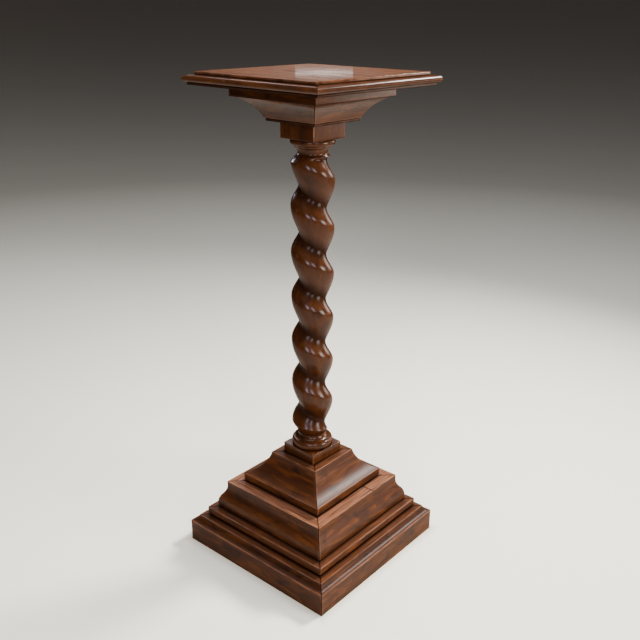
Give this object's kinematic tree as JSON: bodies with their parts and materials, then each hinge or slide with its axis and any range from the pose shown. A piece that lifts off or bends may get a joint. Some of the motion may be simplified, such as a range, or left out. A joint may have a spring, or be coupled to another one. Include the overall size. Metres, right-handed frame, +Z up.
{
  "type": "barley twist pedestal",
  "caption": "Square wooden pedestal with a stepped, moulded base, a turned left-handed twist column, a spreading hollow neck and a moulded flat top.",
  "frame": {"origin": "middle of the square underside, on the floor", "axes": "+Z up along the column; X and Y along the base's sides, with the corner nearest the camera at +X, -Y"},
  "size_m": [0.426, 0.426, 1.12],
  "materials": {
    "base_wood": "polished red-brown mahogany, worn at the edges",
    "column_wood": "high-gloss red-brown mahogany",
    "head_wood": "polished red-brown mahogany",
    "top_wood": "polished, lightly scratched mahogany with a long grain"
  },
  "bodies": {
    "root": {"plinth": "base_wood", "step_board": "base_wood", "ogee_stage": "base_wood", "cove_stage": "base_wood", "barley_twist_column": "column_wood", "head_cavetto": "head_wood", "abacus_board": "head_wood", "top_moulding": "head_wood", "top_panel": "top_wood"}
  },
  "joints": []
}
